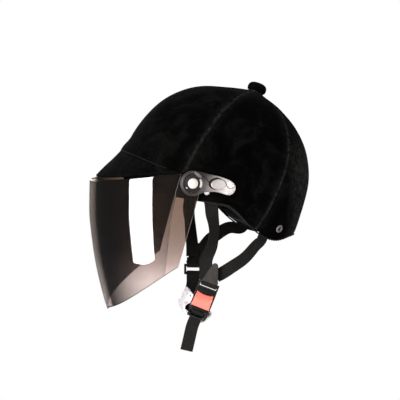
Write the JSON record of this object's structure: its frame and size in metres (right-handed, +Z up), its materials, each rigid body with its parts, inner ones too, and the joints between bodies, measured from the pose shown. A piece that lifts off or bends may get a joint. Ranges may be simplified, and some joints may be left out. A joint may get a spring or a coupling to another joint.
{
  "type": "equestrian riding helmet",
  "caption": "Velvet-covered riding helmet with a top button, small peak, swing-up smoked face visor on side pivots, and a Y-strap chin harness with push-button buckle and chin cup.",
  "frame": {"origin": "middle of the crown pad's flat underside, where the top of the wearer's head rests", "axes": "+Z up, -Y the way the wearer faces, +X the wearer's left"},
  "size_m": [0.2174, 0.2856, 0.3444],
  "materials": {
    "velvet": "black short-pile velvet",
    "shell_plastic": "black moulded ABS, satin",
    "impact_foam": null,
    "lining_fabric": "black knitted lining over foam",
    "smoked_lens": "clear smoked polycarbonate, polished",
    "gunmetal_plastic": "metallised grey plastic, glossy",
    "black_plastic": "black moulded acetal, satin",
    "bright_steel": "bright plated steel",
    "webbing": "black woven polyester webbing",
    "grey_patch": "dark grey stitched synthetic leather",
    "red_button": "salmon red moulded plastic, satin",
    "white_cup": "white moulded soft plastic"
  },
  "bodies": {
    "helmet": {"hard_shell": "shell_plastic", "impact_liner": "impact_foam", "velvet_front": "velvet", "velvet_left": "velvet", "velvet_rear": "velvet", "velvet_right": "velvet", "rim_binding": "lining_fabric", "headband_pad": "lining_fabric", "crown_pad": "lining_fabric", "button_cover": "velvet", "button_core": "black_plastic", "button_washer": "bright_steel", "button_nut": "bright_steel", "peak_cover": "velvet", "peak_core": "shell_plastic", "peak_lining": "lining_fabric", "pivot_base_left": "black_plastic", "pivot_base_right": "black_plastic", "friction_washer_left": "bright_steel", "friction_washer_right": "bright_steel", "visor_side_cover_left": "gunmetal_plastic", "visor_side_cover_right": "gunmetal_plastic", "oval_cap_left": "gunmetal_plastic", "oval_cap_right": "gunmetal_plastic", "pivot_screw_left": "bright_steel", "pivot_screw_right": "bright_steel", "pivot_nut_left": "bright_steel", "pivot_nut_right": "bright_steel", "cover_screw_left": "bright_steel", "cover_screw_right": "bright_steel", "cover_nut_left": "bright_steel", "cover_nut_right": "bright_steel", "strap_left_front": "webbing", "strap_left_rear": "webbing", "strap_right_front": "webbing", "strap_right_rear": "webbing", "strap_rivet_left_front": "bright_steel", "strap_rivet_left_rear": "bright_steel", "strap_rivet_right_front": "bright_steel", "strap_rivet_right_rear": "bright_steel", "rivet_washer_left_front": "bright_steel", "rivet_washer_left_rear": "bright_steel", "rivet_washer_right_front": "bright_steel", "rivet_washer_right_rear": "bright_steel", "divider_left": "grey_patch", "divider_right": "grey_patch", "buckle_loop": "webbing", "ring_loop": "webbing", "strap_ring": "black_plastic", "chin_strap": "webbing", "chin_strap_end": "webbing", "buckle_housing": "black_plastic", "button_spring": "bright_steel"},
    "visor": {"visor_lens": "smoked_lens"},
    "buckle_button": {"release_button": "red_button", "latch_plate": "bright_steel"},
    "tongue": {"buckle_tongue": "black_plastic", "strap_tail": "webbing"},
    "chin_piece": {"chin_cup": "white_cup", "chin_pad": "lining_fabric"}
  },
  "joints": [
    {"name": "visor_swing", "type": "hinge", "parent": "helmet", "child": "visor", "pos_m": [0, -0.0415, -0.0909], "axis": [-1, 0, 0], "range_deg": [0, 70]},
    {"name": "button_press", "type": "slide", "parent": "helmet", "child": "buckle_button", "axis": [-0.9421, 0.2527, 0.2204], "range_m": [0, 0.0015], "stiffness_N_per_m": 500, "deforming": ["button_spring"]},
    {"name": "tongue_pull", "type": "slide", "parent": "helmet", "child": "tongue", "axis": [-0.2937, -0.305, -0.9059], "range_m": [0, 0.02], "deforming": ["chin_strap_end"]},
    {"name": "chin_cup_slide", "type": "slide", "parent": "helmet", "child": "chin_piece", "axis": [1, 0, 0], "range_m": [-0.006, 0.006]}
  ]
}
